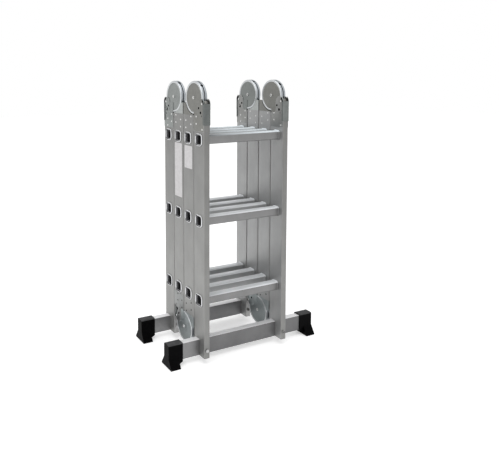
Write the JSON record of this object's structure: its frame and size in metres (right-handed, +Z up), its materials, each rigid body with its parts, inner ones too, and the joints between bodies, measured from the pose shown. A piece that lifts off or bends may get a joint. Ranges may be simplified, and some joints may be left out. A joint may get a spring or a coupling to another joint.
{
  "type": "multi position ladder",
  "caption": "Hinged folding ladder with disc hinges and release levers, square rungs and stabiliser bars on rubber feet; it folds to a compact stack and opens to a straight ladder.",
  "frame": {"origin": "on the floor, at the middle of the whole folded ladder's footprint", "axes": "+X along the rungs, to the right as seen from the front; +Y from the front section to the rear section; +Z up along the stiles"},
  "size_m": [0.622, 0.3008, 0.977],
  "materials": {
    "stile_aluminium": "mill finish extrusion, satin",
    "rung_aluminium": "mill finish extrusion, satin, bright flared ends",
    "hinge_steel": "zinc plated pressed steel, satin",
    "bright_steel": "bright zinc plated",
    "foot_rubber": "matt black moulded rubber"
  },
  "bodies": {
    "front_section": {"front_section_left_stile": "stile_aluminium", "front_section_right_stile": "stile_aluminium", "front_section_bottom_rung": "rung_aluminium", "front_section_middle_rung": "rung_aluminium", "front_section_top_rung": "rung_aluminium", "front_section_stabiliser_bar": "stile_aluminium", "front_section_left_foot": "foot_rubber", "front_section_right_foot": "foot_rubber", "front_section_left_bar_bolt": "bright_steel", "front_section_right_bar_bolt": "bright_steel", "front_top_hinge_left_outer_plate": "hinge_steel", "front_top_hinge_left_inner_plate": "hinge_steel", "front_top_hinge_left_axle": "bright_steel", "front_top_hinge_right_outer_plate": "hinge_steel", "front_top_hinge_right_inner_plate": "hinge_steel", "front_top_hinge_right_axle": "bright_steel"},
    "front_inner_section": {"front_inner_section_left_stile": "stile_aluminium", "front_inner_section_right_stile": "stile_aluminium", "front_inner_section_bottom_rung": "rung_aluminium", "front_inner_section_middle_rung": "rung_aluminium", "front_inner_section_top_rung": "rung_aluminium", "front_top_hinge_left_tongue": "hinge_steel", "front_top_hinge_right_tongue": "hinge_steel", "bottom_hinge_left_tongue": "hinge_steel", "bottom_hinge_right_tongue": "hinge_steel"},
    "rear_inner_section": {"rear_inner_section_left_stile": "stile_aluminium", "rear_inner_section_right_stile": "stile_aluminium", "rear_inner_section_bottom_rung": "rung_aluminium", "rear_inner_section_middle_rung": "rung_aluminium", "rear_inner_section_top_rung": "rung_aluminium", "rear_top_hinge_left_tongue": "hinge_steel", "rear_top_hinge_right_tongue": "hinge_steel", "bottom_hinge_left_outer_plate": "hinge_steel", "bottom_hinge_left_inner_plate": "hinge_steel", "bottom_hinge_left_axle": "bright_steel", "bottom_hinge_right_outer_plate": "hinge_steel", "bottom_hinge_right_inner_plate": "hinge_steel", "bottom_hinge_right_axle": "bright_steel"},
    "rear_section": {"rear_section_left_stile": "stile_aluminium", "rear_section_right_stile": "stile_aluminium", "rear_section_bottom_rung": "rung_aluminium", "rear_section_middle_rung": "rung_aluminium", "rear_section_top_rung": "rung_aluminium", "rear_section_stabiliser_bar": "stile_aluminium", "rear_section_left_foot": "foot_rubber", "rear_section_right_foot": "foot_rubber", "rear_section_left_bar_bolt": "bright_steel", "rear_section_right_bar_bolt": "bright_steel", "rear_top_hinge_left_outer_plate": "hinge_steel", "rear_top_hinge_left_inner_plate": "hinge_steel", "rear_top_hinge_left_axle": "bright_steel", "rear_top_hinge_right_outer_plate": "hinge_steel", "rear_top_hinge_right_inner_plate": "hinge_steel", "rear_top_hinge_right_axle": "bright_steel"},
    "front_top_left_lever": {"front_top_hinge_left_release_lever": "hinge_steel"},
    "front_top_right_lever": {"front_top_hinge_right_release_lever": "hinge_steel"},
    "rear_top_left_lever": {"rear_top_hinge_left_release_lever": "hinge_steel"},
    "rear_top_right_lever": {"rear_top_hinge_right_release_lever": "hinge_steel"},
    "bottom_left_lever": {"bottom_hinge_left_release_lever": "hinge_steel"},
    "bottom_right_lever": {"bottom_hinge_right_release_lever": "hinge_steel"}
  },
  "joints": [
    {"name": "front_top_fold", "type": "hinge", "parent": "front_section", "child": "front_inner_section", "pos_m": [-0.012, -0.0761, 0.92], "axis": [1, 0, 0], "range_deg": [0, 180]},
    {"name": "bottom_fold", "type": "hinge", "parent": "front_inner_section", "child": "rear_inner_section", "pos_m": [-0.012, -0.0041, 0.08], "axis": [-1, 0, 0], "range_deg": [0, 180]},
    {"name": "rear_top_fold", "type": "hinge", "parent": "rear_inner_section", "child": "rear_section", "pos_m": [-0.012, 0.0679, 0.92], "axis": [1, 0, 0], "range_deg": [0, 180]},
    {"name": "front_top_left_release", "type": "hinge", "parent": "front_section", "child": "front_top_left_lever", "pos_m": [-0.17625, -0.1331, 0.9], "axis": [-1, 0, 0], "range_deg": [0, 10], "stiffness_Nm_per_rad": 2, "springref_deg": -17.19},
    {"name": "front_top_right_release", "type": "hinge", "parent": "front_section", "child": "front_top_right_lever", "pos_m": [0.15225, -0.1331, 0.9], "axis": [-1, 0, 0], "range_deg": [0, 10], "stiffness_Nm_per_rad": 2, "springref_deg": -17.19},
    {"name": "rear_top_left_release", "type": "hinge", "parent": "rear_section", "child": "rear_top_left_lever", "pos_m": [-0.17625, 0.1249, 0.9], "axis": [1, 0, 0], "range_deg": [0, 10], "stiffness_Nm_per_rad": 2, "springref_deg": -17.19},
    {"name": "rear_top_right_release", "type": "hinge", "parent": "rear_section", "child": "rear_top_right_lever", "pos_m": [0.15225, 0.1249, 0.9], "axis": [1, 0, 0], "range_deg": [0, 10], "stiffness_Nm_per_rad": 2, "springref_deg": -17.19},
    {"name": "bottom_left_release", "type": "hinge", "parent": "rear_inner_section", "child": "bottom_left_lever", "pos_m": [-0.17625, 0.0519, 0.1], "axis": [-1, 0, 0], "range_deg": [0, 10], "stiffness_Nm_per_rad": 2, "springref_deg": -17.19},
    {"name": "bottom_right_release", "type": "hinge", "parent": "rear_inner_section", "child": "bottom_right_lever", "pos_m": [0.15225, 0.0519, 0.1], "axis": [-1, 0, 0], "range_deg": [0, 10], "stiffness_Nm_per_rad": 2, "springref_deg": -17.19}
  ],
  "couplings": [
    {"joint": "rear_top_fold", "follows": "bottom_fold", "ratio": 1}
  ]
}
